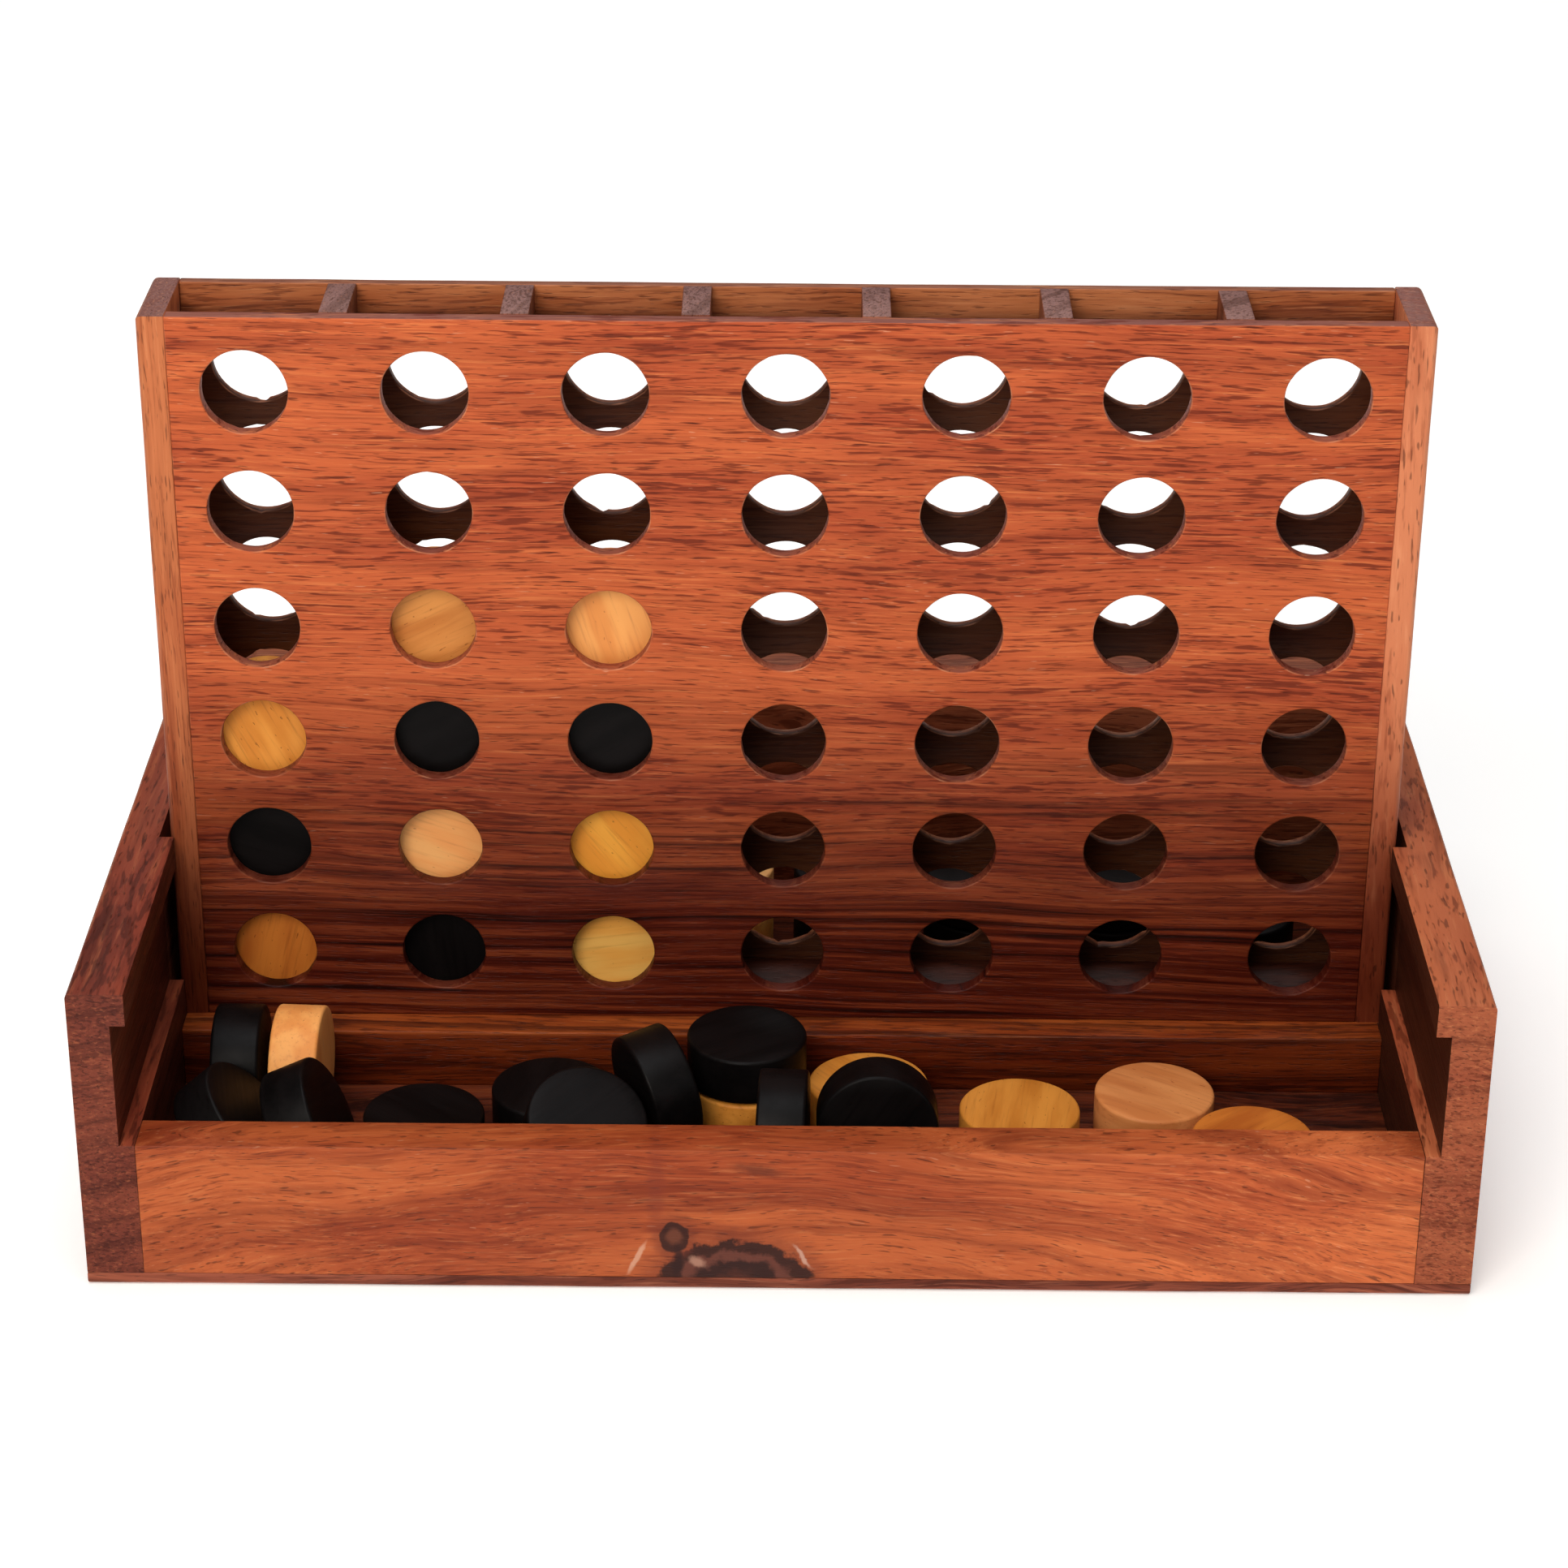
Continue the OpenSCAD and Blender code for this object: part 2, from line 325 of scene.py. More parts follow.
# Indian rosewood, planed, sanded and oiled: red-brown with dark bands, fine bright fibres
# and short open pores, a satin gloss that breaks up along the grain
def rosewood(name, **changes):
    look = {**rosewoodBase, **changes}
    material, tree, shader = newMaterial(name)
    place = addNode(tree, "ShaderNodeTexCoord", {}).outputs["Object"]
    turn = Vector(fibreTurns[look["fibre"]]) + Vector((0, look["tilt"] * 0.5, look["tilt"]))
    board = addNode(tree, "ShaderNodeMapping", {
        "Vector": place, "Rotation": [math.radians(angle) for angle in turn],
        "Scale": (1 / mm,) * 3, "Location": look["shift"]}).outputs[0]
    ringed, radius = followFibres(tree, board, look)
    found = findPatterns(tree, ringed, radius, look)
    # each layer: pattern, where it starts and is full, how much, colour
    layers = [
        ("blotch", 0.36, 0.62, 1.0, look["light"]),
        # end grain colour, with its painted grey sheen on the tops
        ("endGrain", 0.0, 1.0, look["end"], look["endAndSheenColour"]),
        ("band", 0.46, 0.68, look["bands"], look["dark"]),
        ("streak", 0.50, 0.72, look["streaks"], look["dark"]),
        ("fibre", 0.52, 0.74, look["glints"], look["glow"]),
        ("fibre", 0.46, 0.30, look["glints"], look["dark"]),
        ("dash", 0.33, 0.42, look["dashes"], look["dark"]),
        ("pore", 0.64, 0.72, look["pores"], look["poreColour"]),
        # painted shade on the faces inside the box and on the back panel's inner face, over their
        # bare dark wood
        ("bareAndShade", 0.0, 1.0, look["bareAndShade"], look["bareAndShadeColour"]),
        ("pore", 0.27, 0.21, look["flecks"], look["fleckColour"]),
        ("wear", 0.2, 1.0, look["worn"], look["wornColour"]),
    ]
    colour = linearColour(look["mid"])
    for key, start, full, most, paint in layers:
        colour = paintOver(tree, colour, found[key], start, full, most, paint)
    placeAxes = addNode(tree, "ShaderNodeSeparateXYZ", {0: place}).outputs
    # tints and painted shade: the colour is multiplied along an axis; the rails, the dividers and
    # the bar get darker away from their lit tops
    for axis, start, full, most, paint in look.get("tintsAndShade", []):
        colour = paintOver(tree, colour, placeAxes["XYZ".index(axis)], start * mm, full * mm,
                           most, paint, blend="MULTIPLY")
    if "heart" in look:
        colour = paintHeart(tree, colour, placeAxes[2], ringed, look["heart"])
    if "knots" in look:
        colour = paintKnots(tree, colour, board, look["knots"])
    tree.links.new(colour, shader.inputs["Base Color"])
    dull, bright = look["fibreSheen"]
    gloss = addNode(tree, "ShaderNodeMapRange", {
        "Value": found["fibre"], "From Min": fibreRange[0], "From Max": fibreRange[1],
        "To Min": look["roughness"] + dull, "To Max": look["roughness"] + bright}).outputs[0]
    tree.links.new(gloss, shader.inputs["Roughness"])
    shader.inputs["Specular IOR Level"].default_value = look["gloss"]
    pits = addNode(tree, "ShaderNodeMapRange", {
        "Value": found["pore"], "From Min": look["poreEdge"][0], "From Max": look["poreEdge"][1],
        "To Min": 0.0, "To Max": look["poreRelief"]}).outputs[0]
    relief = addNode(tree, "ShaderNodeMath", {
        0: found["fibre"], 1: look["fibreRelief"], 2: pits}, operation="MULTIPLY_ADD").outputs[0]
    bump = addNode(tree, "ShaderNodeBump", {
        "Height": relief, "Strength": look["bump"], "Distance": look["depth"] * mm}).outputs[0]
    tree.links.new(bump, shader.inputs["Normal"])
    return material


# Rounds edges and marks how far each vertex is on the rounded part, for the wear
def roundEdges(bm, edges, radius, segments, amount):
    wear = bm.verts.layers.float.get("wear") or bm.verts.layers.float.new("wear")
    made = bmesh.ops.bevel(bm, geom=edges, offset=radius * mm, offset_type="OFFSET",
                           segments=segments, profile=0.5, affect="EDGES", material=-1,
                           clamp_overlap=True)
    rounded = set(made["faces"])
    for face in rounded:
        for vert in face.verts:
            if all(other in rounded for other in vert.link_faces):
                vert[wear] = amount


# A smooth random vector at a point, different for each seed
def sway(point, size, seed):
    return noise.noise_vector(point / (size * mm) + Vector((seed, seed * 2.3, seed * 0.7)))


# Wear comes and goes over the surface; even is the share that is the same everywhere
def patchy(point, size, even, shift=Vector()):
    return even + (1 - even) * noise.noise(point / (size * mm) + shift)


# A copy of a CAD node's mesh with its loose triangles joined into whole faces
def wholeFaces(node):
    bm = bmesh.new()
    bm.from_mesh(frame["nodes"][node].data)
    bmesh.ops.remove_doubles(bm, verts=bm.verts, dist=meshWork["merge"] * mm)
    bmesh.ops.dissolve_limit(bm, angle_limit=math.radians(meshWork["flat"]), verts=bm.verts,
                             edges=bm.edges)
    return bm


def isSharp(edge):
    return len(edge.link_faces) == 2 and edge.calc_face_angle() > math.radians(meshWork["sharp"])


def edgeMiddle(edge):
    return (edge.verts[0].co + edge.verts[1].co) / 2


def finishMesh(bm, name, material, body, node):
    mesh = bpy.data.meshes.new(name)
    bm.to_mesh(mesh)
    bm.free()
    for polygon in mesh.polygons:
        polygon.use_smooth = True
    mesh.set_sharp_from_angle(angle=math.radians(meshWork["smooth"]))
    mesh.materials.append(material)
    piece = link(bpy.data.objects.new(name, mesh))
    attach(piece, body)
    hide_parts(node)
    return piece


# Marks the faces that cut across the fibres, and those that look across X into the box
def markFaces(bm, fibre):
    end = bm.faces.layers.float.new("endGrain")
    bareAndShade = bm.faces.layers.float.new("bareAndShade")
    axis = "xyz".index(fibre)
    for face in bm.faces:
        face[end] = 1.0 if abs(face.normal[axis]) > meshWork["facing"] else 0.0
        # faces that look into the box take the painted shade over their bare-wood colour
        inward = -math.copysign(face.normal.x, face.normal.x * face.calc_center_median().x)
        face[bareAndShade] = 1.0 if inward > meshWork["facing"] else 0.0


boards = {
    "step": 6.0,            # spacing of the cuts that let a board be uneven
    "outerEdge": 0.9,       # radius of the edges that hands meet
    "innerEdge": 0.3,       # radius of the edges inside and at the joints
    "outerWear": 1.0,       # how worn the two kinds of edge are
    "innerWear": 0.7,
    "wearSpot": 5,          # size of the worn spots
    "evenWear": 0.5,        # share of the wear that is the same everywhere
    "innerSteps": 2,        # faces across a rounded edge
    "outerSteps": 4,
    "onOutline": 0.1,       # an edge this near an outer face is an outer edge
    "uneven": 0.10,         # what the plane and the sander leave
    "unevenSize": 22,
}


# Outermost corners of the box and of the frame, so that each knows its outer edges
def outline(nodes):
    corners = [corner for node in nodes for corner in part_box(node)]
    return [[pick(c[i] for c in corners) for i in range(3)] for pick in (min, max)]


def makeBoard(node, body, material, fibre, outer, seed, step=boards["step"],
              outerEdge=boards["outerEdge"]):
    bm = wholeFaces(node)
    low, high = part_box(node)
    axis = "xyz".index(fibre)
    normal = Vector([float(i == axis) for i in range(3)])
    cuts = int((high - low)[axis] / (step * mm))
    for i in range(1, cuts):
        bmesh.ops.bisect_plane(bm, geom=bm.verts[:] + bm.edges[:] + bm.faces[:],
                               plane_co=low + (high - low) * i / cuts, plane_no=normal,
                               dist=meshWork["merge"] * mm)
    outerEdges, innerEdges = [], []
    for edge in bm.edges:
        if isSharp(edge) and edge.is_convex:
            middle = edgeMiddle(edge)
            gaps = [min(abs(middle[i] - outer[0][i]), abs(middle[i] - outer[1][i]))
                    for i in range(3)]
            onOutside = sum(gap < boards["onOutline"] * mm for gap in gaps)
            (outerEdges if onOutside > 1 else innerEdges).append(edge)
    roundEdges(bm, innerEdges, boards["innerEdge"], boards["innerSteps"], boards["innerWear"])
    outerEdges = [edge for edge in outerEdges if edge.is_valid]
    if outerEdges:
        roundEdges(bm, outerEdges, outerEdge, boards["outerSteps"], boards["outerWear"])
    markFaces(bm, fibre)
    wear = bm.verts.layers.float["wear"]
    for vert in bm.verts:
        vert[wear] *= patchy(vert.co, boards["wearSpot"], boards["evenWear"])
        vert.co += sway(vert.co, boards["unevenSize"], seed) * boards["uneven"] * mm
    return finishMesh(bm, "oiled." + node, material, body, node)


boxNodes = ["base_board", "front_wall", "back_wall", "left_side", "right_side"]
boxOutline = outline(boxNodes)
frameOutline = outline(["left_rail", "right_rail", "front_panel", "back_panel"])

sides = {
    "slot": "brown_rosewood",
    "step": 3.0,
    "outerEdge": 1.1,
    # each side's inner faces are darkened: painted shade over rough, unoiled wood
    "left": {"shift": (30, 0, 12), "pith": (0, 120, -90), "mid": "#863a28", "light": "#a04c32",
             "dark": "#3d150d", "glow": "#b5653f", "endAndSheenColour": "#562a20", "end": 0.6,
             "ring": 5.0, "bands": 0.5, "wobble": (110, 3), "bareAndShade": 0.75},
    "right": {"shift": (-44, 5, 0), "pith": (0, -150, -60), "mid": "#a34f31", "light": "#bd6841",
              "dark": "#5c2411", "glow": "#d48657", "endAndSheenColour": "#91492f", "end": 0.6,
              "ring": 6.0, "bands": 0.35, "wobble": (110, 3), "bareAndShade": 0.92},
}


def makeSides():
    for number, side in enumerate(("left", "right")):
        material = rosewood(f"oiled brown rosewood {side}", fibre="y", **sides[side])
        makeBoard(f"{side}_side", "storage_box", material, "y", boxOutline,
                  seed=3 + number, step=sides["step"], outerEdge=sides["outerEdge"])


frontWall = {
    "slot": "figured_rosewood",
    "finish": {
        "shift": (0, 0, 0), "pith": (-22, -96, -12), "stretch": 0.27, "ring": 10.0,
        "mid": "#b8572f", "light": "#d87440", "dark": "#7c2f19", "glow": "#f09a60",
        "bands": 0.62, "streaks": 0.45, "dashes": 0.35, "glints": 0.45, "flecks": 0.4,
        "wobble": (75, 9), "tilt": -2.5, "coarse": 1.5, "tintsAndShade": [("X", 110, 30, 1.0, "#dcd2cd")],
        # places and sizes along X, Y and Z; a ring is outer edge, inner edge, amount, colour
        "knots": [
            {"centre": (-33, -96, 26), "size": (2.2, 40, 14), "ragged": 3.0, "rings": [
                (1.3, 0.3, 0.45, "#7a3322")]},
            {"centre": (-10, -96, 32), "size": (5.5, 40, 1.6), "ragged": 2.5, "turn": -12,
             "rings": [(1.5, 0.3, 0.6, "#4f271d")]},
            {"centre": (-14, -96, 1.5), "size": (17, 40, 11), "ragged": 6.0, "rings": [
                (1.55, 1.0, 0.55, "#713322"), (1.08, 0.98, 0.93, "#2b1613"),
                (0.86, 0.72, 0.9, "#6a3a2e"), (0.66, 0.5, 0.92, "#2c1512"),
                (0.4, 0.1, 0.7, "#55291d")]},
            {"centre": (-28.5, -96, 13.5), "size": (3.4, 40, 4.2), "ragged": 2.0, "rings": [
                (1.8, 1.1, 0.5, "#713322"), (1.05, 0.9, 0.9, "#2b1613"),
                (0.7, 0.3, 0.7, "#74402c")]},
            {"centre": (-27.6, -96, 6.0), "size": (1.3, 40, 5.5), "ragged": 2.0, "rings": [
                (1.2, 0.5, 0.9, "#2f1613")]},
            {"centre": (-37, -96, 7.5), "size": (0.8, 40, 5.5), "ragged": 1.2, "turn": -24,
             "rings": [(1.1, 0.5, 0.75, "#d3a184")]},
            {"centre": (1.0, -96, 9.0), "size": (0.7, 40, 4.0), "ragged": 2.4, "turn": 35,
             "rings": [(1.1, 0.4, 0.8, "#c9a08c")]},
            {"centre": (-23, -96, 7.0), "size": (2.4, 40, 1.3), "ragged": 2.2, "turn": -25,
             "rings": [(1.2, 0.4, 0.7, "#b98a74")]},
        ],
    },
}


def makeFrontWall():
    material = rosewood("oiled figured rosewood", **frontWall["finish"])
    makeBoard("front_wall", "storage_box", material, "x", boxOutline, seed=6)


backWall = {
    "slot": "brown_rosewood",
    "finish": {"shift": (90, 0, 0), "mid": "#8f4a2e", "light": "#a65c3c", "dark": "#52210f"},
}


def makeBackWall():
    material = rosewood("oiled brown rosewood back", **backWall["finish"])
    makeBoard("back_wall", "storage_box", material, "x", boxOutline, seed=7)


floorAndBar = {
    "slot": "dark_rosewood",
    "finish": {"shift": (-70, 0, 0), "mid": "#4a1c0e", "light": "#6a2e18", "dark": "#1d0805",
               "glow": "#8a4a28", "ring": 4.0, "bands": 0.8, "streaks": 0.7,
               "pith": (0, -120, -60)},
    # painted shade: the bar's front is darker below its lit top edge
    "barFinish": {"shift": (25, 0, 0), "mid": "#7c3010", "light": "#9c4a1c", "dark": "#3a1204",
                  "glow": "#b8642f", "ring": 3.0, "bands": 0.7, "streaks": 0.6,
                  "pith": (0, -60, -30), "wobble": (110, 4),
                  "tintsAndShade": [("Z", 27.2, 26.4, 1.0, "#bca4a0")]},
}


def makeFloorAndBar():
    material = rosewood("oiled dark rosewood", **floorAndBar["finish"])
    makeBoard("floor_board", "storage_box", material, "x", boxOutline,
              seed=8)
    material = rosewood("oiled striped rosewood", **floorAndBar["barFinish"])
    makeBoard("rest_bar", "storage_box", material, "x", boxOutline, seed=9)


baseBoard = {
    "slot": "base_rosewood",
    "finish": {"shift": (140, 0, 0), "mid": "#7e3d2b", "light": "#99513a", "dark": "#4a1e13",
               "glow": "#b47052", "endAndSheenColour": "#6c3a2c"},
}


def makeBaseBoard():
    material = rosewood("oiled plain rosewood", **baseBoard["finish"])
    makeBoard("base_board", "storage_box", material, "x", boxOutline, seed=10)


rails = {
    "slot": "pale_rosewood",
    "left": {"shift": (0, 0, 20), "mid": "#b15a34", "light": "#c67246", "dark": "#702d15",
             "glow": "#dd9260"},
    "right": {"shift": (50, 0, -15), "mid": "#c56a45", "light": "#d8835a", "dark": "#87391f",
              "glow": "#e99c70"},
    # painted shade: the rails darken towards the bottom, where the box's sides keep the light
    # off, over some darker wood; the grey end colour of their tops is a painted sheen
    "common": {"fibre": "z", "endAndSheenColour": "#7a5652", "end": 0.9, "ring": 4.0, "bands": 0.25,
               "streaks": 0.30, "dashes": 0.35, "wobble": (140, 1.5),
               "tintsAndShade": [("Z", 130, 35, 1.0, "#89695d")]},
    "outerEdge": 1.4,
}


def makeRails():
    for number, side in enumerate(("left", "right")):
        material = rosewood(f"oiled pale rosewood {side}", **rails["common"], **rails[side])
        makeBoard(f"{side}_rail", "play_frame", material, "z", frameOutline,
                  seed=12 + number, outerEdge=rails["outerEdge"])


dividers = {
    "slot": "brown_rosewood",
    "count": 6,
    # painted shade: the dividers darken below their tops, inside the frame where the light does
    # not reach; the grey end colour of their tops is a painted sheen
    "finish": {"fibre": "z", "mid": "#7a3e28", "light": "#925339", "dark": "#48200f",
               "glow": "#ab6c4b", "endAndSheenColour": "#8d6862", "end": 0.9, "wobble": (140, 2),
               "tintsAndShade": [("Z", 202, 186, 1.0, "#a09088")]},
    "stripFinish": {"mid": "#3c180e", "light": "#4d2215", "dark": "#1f0b06",
                    "glow": "#5f3020"},
}


def makeDividers():
    for number in range(1, dividers["count"] + 1):
        finish = {**dividers["finish"], "shift": (31 * number, 0, 0)}
        material = rosewood(f"oiled brown rosewood divider {number}", **finish)
        makeBoard(f"column_divider_{number}", "play_frame", material, "z",
                  frameOutline, seed=20 + number)
    material = rosewood("oiled brown rosewood strip", **dividers["stripFinish"])
    makeBoard("bottom_strip", "play_frame", material, "x", frameOutline,
              seed=27)


panels = {
    "slot": "red_rosewood",
    "columns": 7,
    "rows": 6,
    "rowGap": 0.2,              # between rows, over the disc diameter
    # diameter of the holes, and how far they stand above the discs' middles
    "holes": {"front_panel": (20, 0), "back_panel": (21.6, 0.4)},
    "segments": 64,             # points round a hole, a millimetre apart
    "rim": 0.45,                # radius of the rounded rims
    "rimDrift": 0.10,           # unevenness of a rim
    "rimZone": (0.5, 1.08),     # shares of the hole's radius between which points are its rim
    "driftSize": 4,
    "edge": 0.6,                # radius of the panel's own edges
    "steps": 3,                 # faces across a rounded rim or edge
    "uneven": 0.06,             # what the plane and the sander leave
    "rimWear": 1.0,             # how worn the rims and the edges are; on the back panel's holes the pale rims also stand for a painted reflection of the white light
    "edgeWear": 0.8,
    "wearSpot": 3,
    "evenWear": 0.45,
    "bow": 0.15,                # how far the top edge sinks in the middle
    "bowReach": 1.5,            # the bow takes in this much below the top edge
    "frontChip": 0.35,          # depth of torn fibres at the rims
    "backChip": 1.4,
    "tear": (2.6, 0.42, 2.5),   # size of the torn spots, how rare they are, how they grow
    "frontTears": 0.4,          # share of the tearing on the face where the drill goes in
    "topEnd": 0.9,              # how far the top edge and the holes' walls take the end grain colour, with its painted grey sheen
    "wallEnd": 0.6,
    "front": {"shift": (0, 0, 0), "tilt": -1.5, "pith": (0, -60, -420), "stretch": 0.10,
              "wobble": (150, 6), "ring": 9.0, "coarse": 1.2, "mid": "#b04d2b",
              "light": "#c96236", "dark": "#6b2512", "glow": "#e6884e", "endAndSheenColour": "#6c4b47",
              "bands": 0.18, "streaks": 0.42, "dashes": 0.80, "glints": 0.55, "flecks": 0.45,
              "worn": 0.85, "wornColour": "#cf8d68",
              # heights of the heartwood, length and width of its stripes; each coat: where it
              # starts and is full, least and most of it, colour
              "heart": {"start": 134, "full": 44, "stripe": (150, 2.2), "coats": [
                  (0.38, 0.56, 0.74, 1.0, "#451005"), (0.54, 0.64, 0.0, 0.85, "#120301")]}},
    "back": {"shift": (60, 0, 9), "tilt": 1.0, "pith": (0, -60, -220), "wobble": (130, 5),
             "mid": "#a0562f", "light": "#b96f43", "dark": "#642c17", "glow": "#d08f5f",
             "endAndSheenColour": "#7a4c3c", "bareAndShade": 0.85, "bands": 0.3},
    # how far each row of hand-drilled holes lies above its place, bottom row first
    "rowDrift": {"front_panel": (0, -0.3, -0.8, -0.9, -0.4, 0),
                 "back_panel": (0, 0, 0.4, 0.7, 0.4, -0.85)},
    # heights between which the painted shade on the inner faces, over bare dark wood, fades out
    # to the rubbed top edge that the light reaches
    "shadeFade": (197, 204),
}


def newVerts(geometry):
    return [element for element in geometry if isinstance(element, bmesh.types.BMVert)]


# Where the panel's grid of holes lies: its spacing along X and Z, and its bottom row
def panelGrid():
    firstDivider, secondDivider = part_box("column_divider_1"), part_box("column_divider_2")
    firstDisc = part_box("natural_disc_1")
    pitchX = secondDivider[0].x - firstDivider[0].x
    pitchZ = firstDisc[1].x - firstDisc[0].x + panels["rowGap"] * mm
    return pitchX, pitchZ, (firstDisc[0].z + firstDisc[1].z) / 2


# A cell of the panel is a ring of faces from its hole to its edges; the cells are repeated
# over the grid, cut to the panel's width and given margins and thickness
def panelSheet(low, high, holeRadius, rise):
    pitchX, pitchZ, bottomRow = panelGrid()
    columns, rows = panels["columns"], panels["rows"]
    bm = bmesh.new()
    bmesh.ops.create_circle(bm, segments=panels["segments"], radius=holeRadius,
                            matrix=Matrix.Translation((0, rise, 0)))
    border = bmesh.ops.create_circle(bm, segments=panels["segments"],
                                     radius=pitchZ / 2)["verts"]
    for vert in border:
        reach = max(abs(vert.co.x), abs(vert.co.y))
        vert.co.x *= pitchX / 2 / reach
        vert.co.y *= pitchZ / 2 / reach
    bmesh.ops.bridge_loops(bm, edges=bm.edges)
    bmesh.ops.rotate(bm, verts=bm.verts, matrix=Matrix.Rotation(math.pi / 2, 3, "X"))
    bmesh.ops.translate(bm, verts=bm.verts, vec=(
        -pitchX * (columns - 1) / 2, low.y, bottomRow))
    for count, step in ((columns, Vector((pitchX, 0, 0))), (rows, Vector((0, 0, pitchZ)))):
        whole = bm.verts[:] + bm.edges[:] + bm.faces[:]
        for i in range(1, count):
            copy = bmesh.ops.duplicate(bm, geom=whole)["geom"]
            bmesh.ops.translate(bm, vec=step * i, verts=newVerts(copy))
    seam = meshWork["seam"] * mm
    bmesh.ops.remove_doubles(bm, verts=bm.verts, dist=seam)
    for sign, wall in ((-1, low.x), (1, high.x)):
        bmesh.ops.bisect_plane(bm, geom=bm.verts[:] + bm.edges[:] + bm.faces[:],
                               plane_co=(wall, 0, 0), plane_no=(sign, 0, 0),
                               clear_outer=True, dist=meshWork["merge"] * mm)
    gridLow = bottomRow - pitchZ / 2
    gridHigh = bottomRow + pitchZ * (rows - 0.5)
    for level, margin in ((gridLow, low.z), (gridHigh, high.z)):
        border = [edge for edge in bm.edges if edge.is_boundary
                  and all(abs(vert.co.z - level) < seam for vert in edge.verts)]
        grown = bmesh.ops.extrude_edge_only(bm, edges=border)["geom"]
        for vert in newVerts(grown):
            vert.co.z = margin
    bmesh.ops.recalc_face_normals(bm, faces=bm.faces)
    grown = bmesh.ops.extrude_face_region(bm, geom=bm.faces[:], use_keep_orig=True)["geom"]
    bmesh.ops.translate(bm, vec=(0, high.y - low.y, 0), verts=newVerts(grown))
    bmesh.ops.recalc_face_normals(bm, faces=bm.faces)
    return bm


def roundPanel(bm, low, high):
    onRim, onBorder = [], []
    for edge in filter(isSharp, bm.edges):
        middle = edgeMiddle(edge)
        toWall = min(middle.x - low.x, high.x - middle.x, middle.z - low.z, high.z - middle.z)
        (onBorder if toWall < boards["onOutline"] * mm else onRim).append(edge)
    # worn rims; on the back panel's holes their pale colour is also a painted reflection
    roundEdges(bm, onRim, panels["rim"], panels["steps"], panels["rimWear"])
    onBorder = [edge for edge in onBorder if edge.is_valid]
    roundEdges(bm, onBorder, panels["edge"], panels["steps"], panels["edgeWear"])


def makePanel(node, finish, chip, seed):
    low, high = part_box(node)
    pitchX, pitchZ, bottomRow = panelGrid()
    topRow = panels["rows"] - 1
    diameter, rise = [value * mm for value in panels["holes"][node]]
    holeRadius = diameter / 2
    bm = panelSheet(low, high, holeRadius, rise)
    roundPanel(bm, low, high)
    end = bm.faces.layers.float.new("endGrain")
    for face in bm.faces:
        onMargin = face.calc_center_median().z > bottomRow + pitchZ * (topRow + 0.5)
        onWall = abs(face.normal.y) < 0.3
        face[end] = panels["wallEnd"] if onWall else 0.0
        if onMargin and face.normal.z > meshWork["facing"]:
            face[end] = panels["topEnd"]
    wear = bm.verts.layers.float["wear"]
    bareAndShade = bm.verts.layers.float.new("bareAndShade")
    fadeLow, fadeHigh = [level * mm for level in panels["shadeFade"]]
    nearHole, pastHole = [holeRadius * share for share in panels["rimZone"]]
    driftSize = panels["driftSize"]
    tearSize, tearLevel, tearGrowth = panels["tear"]
    middleY = (low.y + high.y) / 2
    along, upward = Vector((seed, 0, 0)), Vector((0, seed, 0))      # where the noises are read
    for vert in bm.verts:
        # painted shade on the panel's inner face, fading out below the top edge
        if (vert.co.y - middleY) * middleY < 0:
            vert[bareAndShade] = min(1, max(0, (fadeHigh - vert.co.z) / (fadeHigh - fadeLow)))
        column = round(vert.co.x / pitchX)
        row = min(topRow, max(0, round((vert.co.z - bottomRow) / pitchZ)))
        centre = Vector((pitchX * column, vert.co.y, bottomRow + pitchZ * row + rise))
        out = vert.co - centre
        vert[wear] *= patchy(vert.co, panels["wearSpot"], panels["evenWear"], along)
        if nearHole < out.length < pastHole:
            drift = noise.noise(vert.co / (driftSize * mm) + along) * panels["rimDrift"]
            tear = max(0, noise.noise(vert.co / (tearSize * mm) + upward) - tearLevel)
            share = 1.0 if vert.co.y > middleY else panels["frontTears"]
            drift += tear * chip * tearGrowth * share
            vert.co += out.normalized() * drift * mm
            vert.co.z += panels["rowDrift"][node][row] * mm
        if vert.co.z > high.z - panels["bowReach"] * mm:
            vert.co.z -= panels["bow"] * mm * (1 - (vert.co.x / high.x) ** 2)
        vert.co += sway(vert.co, boards["unevenSize"], seed) * panels["uneven"] * mm
    material = rosewood(f"oiled red rosewood {node.split('_')[0]}", **finish)
    return finishMesh(bm, "oiled." + node, material, "play_frame", node)


makeSides()
makeFrontWall()
makeBackWall()
makeFloorAndBar()
makeBaseBoard()
print("box boards made")
makeRails()
makeDividers()
makePanel("front_panel", panels["front"], panels["frontChip"], seed=31)
makePanel("back_panel", panels["back"], panels["backChip"], seed=37)
print("frame boards made")

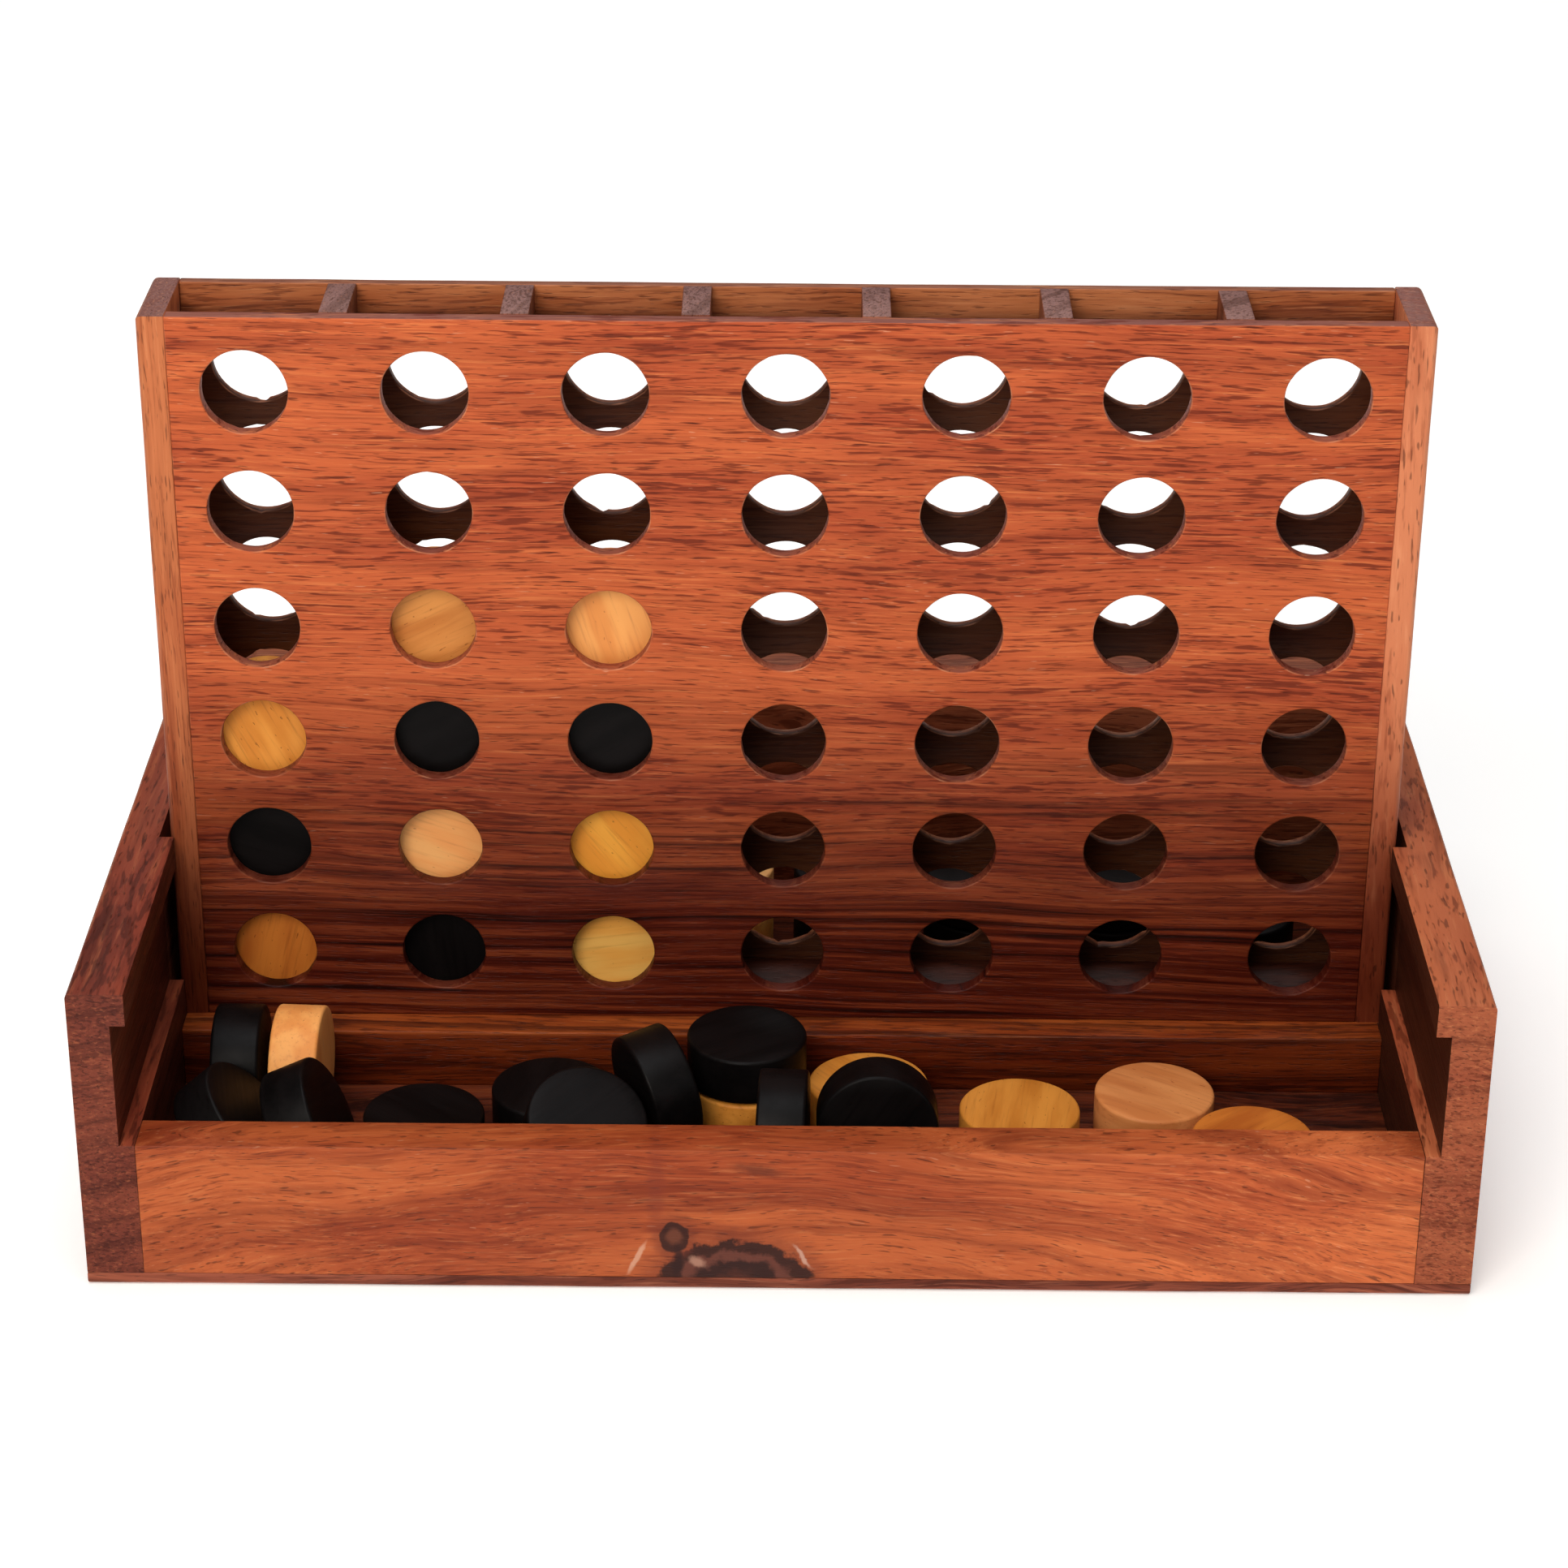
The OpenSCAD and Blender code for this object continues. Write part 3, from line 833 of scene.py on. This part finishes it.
discs = {
    "segments": 72,
    "rings": 5,             # rings of faces that let a flat face be crowned and uneven
    "ringReach": 0.9,       # share of the radius that they cover
    "rim": 0.8,             # radius of the rims, sanded soft
    "rimSteps": 4,
    "rimWear": 1.0,
    "wearSpot": 4,
    "evenWear": 0.5,
    "crown": 0.3,           # how far a face falls away to its rim
    "uneven": 0.05,
    "unevenSize": 9,
    "depth": 0.06,          # height of the relief
    "bump": 0.4,
    "patterns": {           # size along the fibres and across them, mm; detail; roughness
        "figure": ((34, 6.5), 3.0, 0.5),
        "fibre": ((16, 0.9), 4.0, 0.6),
        "speck": ((1.6, 0.55), 0.5, 0.4),
    },
    # light figure, ground colour, dark fibres
    "tones": {
        "honey": ("#efa045", "#dc8832", "#96501c"),
        "yellow": ("#fbaf44", "#ee9a36", "#ab6524"),
        "straw": ("#ffc566", "#fbb04f", "#c07a35"),
        "blush": ("#ffbd74", "#fca962", "#c87a48"),
        "peach": ("#f8ae62", "#ec9950", "#bd6a3a"),
        "tan": ("#dd934a", "#c67835", "#8a4519"),
        "rust": ("#d67e30", "#bc6423", "#7c3a12"),
        "amber": ("#dc913a", "#c67a2a", "#8f4c18"),
        "clay": ("#dd9154", "#c97a41", "#a0522a"),
    },
    "naturalTone": {1: "rust", 2: "honey", 3: "blush", 4: "tan", 5: "straw", 6: "yellow",
                    7: "peach", 8: "peach", 9: "amber", 10: "amber", 11: "amber",
                    12: "clay", 13: "rust"},
    "black": ("#100d0d", "#090707", "#040303"),
    # roughness and specular level; how much the dark fibres show
    "naturalGloss": (0.50, 0.20),
    "blackGloss": (0.42, 0.09),
    "naturalContrast": 0.35,
    "blackContrast": 0.5,
    "fibreSheen": (0.07, -0.04),    # change of roughness from dull fibres to bright ones
    "seed": 11,
}


# Pale close-grained wood, turned, sanded and lacquered thin: a soft figure on the faces,
# fine fibres, a few dark specks; the black ones are the same wood stained through
def turnedWood(name, light, mid, dark, gloss, contrast):
    material, tree, shader = newMaterial(name)
    place = addNode(tree, "ShaderNodeAttribute", {}, attribute_name="ownPlace").outputs["Vector"]
    found = {}
    for key, ((run, width), detail, rough) in discs["patterns"].items():
        found[key] = drawnNoise(tree, place, (1 / run, 1 / width, 1 / width), detail, rough)[0]
    found["wear"] = addNode(tree, "ShaderNodeAttribute", {}, attribute_name="wear").outputs[2]
    # each layer: pattern, where it starts and is full, how much, colour
    layers = [
        ("figure", 0.36, 0.64, 1.0, light),
        ("fibre", 0.50, 0.75, contrast, dark),
        ("speck", 0.76, 0.80, 0.7, dark),
        ("wear", 0.2, 1.0, 0.35, light),
    ]
    colour = linearColour(mid)
    for key, start, full, most, paint in layers:
        colour = paintOver(tree, colour, found[key], start, full, most, paint)
    tree.links.new(colour, shader.inputs["Base Color"])
    roughness, shader.inputs["Specular IOR Level"].default_value = gloss
    dull, bright = discs["fibreSheen"]
    broken = addNode(tree, "ShaderNodeMapRange", {
        "Value": found["fibre"], "From Min": fibreRange[0], "From Max": fibreRange[1],
        "To Min": roughness + dull, "To Max": roughness + bright}).outputs[0]
    tree.links.new(broken, shader.inputs["Roughness"])
    bump = addNode(tree, "ShaderNodeBump", {
        "Height": found["fibre"], "Strength": discs["bump"],
        "Distance": discs["depth"] * mm}).outputs[0]
    tree.links.new(bump, shader.inputs["Normal"])
    return material


def makeDisc(node, body, material, draw):
    low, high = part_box(node)
    centre = (low + high) / 2
    plan = wholeFaces(node)     # the CAD disc's flat face gives the axis and the thickness
    face = max(plan.faces, key=lambda face: face.calc_area())
    axis = face.normal.copy()
    thickness = 2 * abs((face.calc_center_median() - centre).dot(axis))
    outward = [vert.co - centre for vert in plan.verts]
    radius = max((place - axis * place.dot(axis)).length for place in outward)
    plan.free()
    bm = bmesh.new()
    bmesh.ops.create_cone(bm, cap_ends=True, segments=discs["segments"], radius1=radius,
                          radius2=radius, depth=thickness)
    rims = [edge for edge in bm.edges if isSharp(edge)]
    roundEdges(bm, rims, discs["rim"], discs["rimSteps"], discs["rimWear"])
    caps = [face for face in bm.faces if len(face.verts) > 4]
    ringWidth = radius * discs["ringReach"] / discs["rings"]
    for ring in range(discs["rings"]):
        bmesh.ops.inset_region(bm, faces=caps, thickness=ringWidth)
    ownPlace = bm.verts.layers.float_vector.new("ownPlace")
    turn = Matrix.Rotation(draw.uniform(0, math.tau), 3, "Z")
    offset = Vector([draw.uniform(-200, 200) for i in range(3)])
    wear = bm.verts.layers.float["wear"]
    for vert in bm.verts:
        vert[ownPlace] = turn @ (vert.co / mm) + offset
        vert[wear] *= patchy(vert.co, discs["wearSpot"], discs["evenWear"], offset)
        fall = discs["crown"] * mm * (vert.co.xy.length / radius) ** 3
        vert.co.z -= math.copysign(fall, vert.co.z) * abs(vert.co.z) / (thickness / 2)
        vert.co += sway(vert.co, discs["unevenSize"], offset.x) * discs["uneven"] * mm
    stand = Vector((0, 0, 1)).rotation_difference(axis).to_matrix()
    bmesh.ops.rotate(bm, verts=bm.verts, matrix=stand)
    bmesh.ops.translate(bm, verts=bm.verts, vec=centre)
    return finishMesh(bm, "turned." + node, material, body, node)


def makeDiscs():
    draw = random.Random(discs["seed"])
    natural = {tone: turnedWood(f"lacquered pale wood {tone}", *colours,
                                discs["naturalGloss"], discs["naturalContrast"])
               for tone, colours in discs["tones"].items()}
    black = turnedWood("ebonised wood", *discs["black"], discs["blackGloss"],
                       discs["blackContrast"])
    tones = list(natural)
    bodies = {node: body for body, nodes in frame["record"]["behaviour"]["bodies"].items()
              for node in nodes}
    for node in sorted(name for name in frame["nodes"] if "_disc_" in name):
        kind, number = node.split("_disc_")
        if kind == "black":
            makeDisc(node, bodies[node], black, draw)
        else:
            tone = discs["naturalTone"].get(int(number), tones[int(number) % len(tones)])
            makeDisc(node, bodies[node], natural[tone], draw)


makeDiscs()
print("discs made")
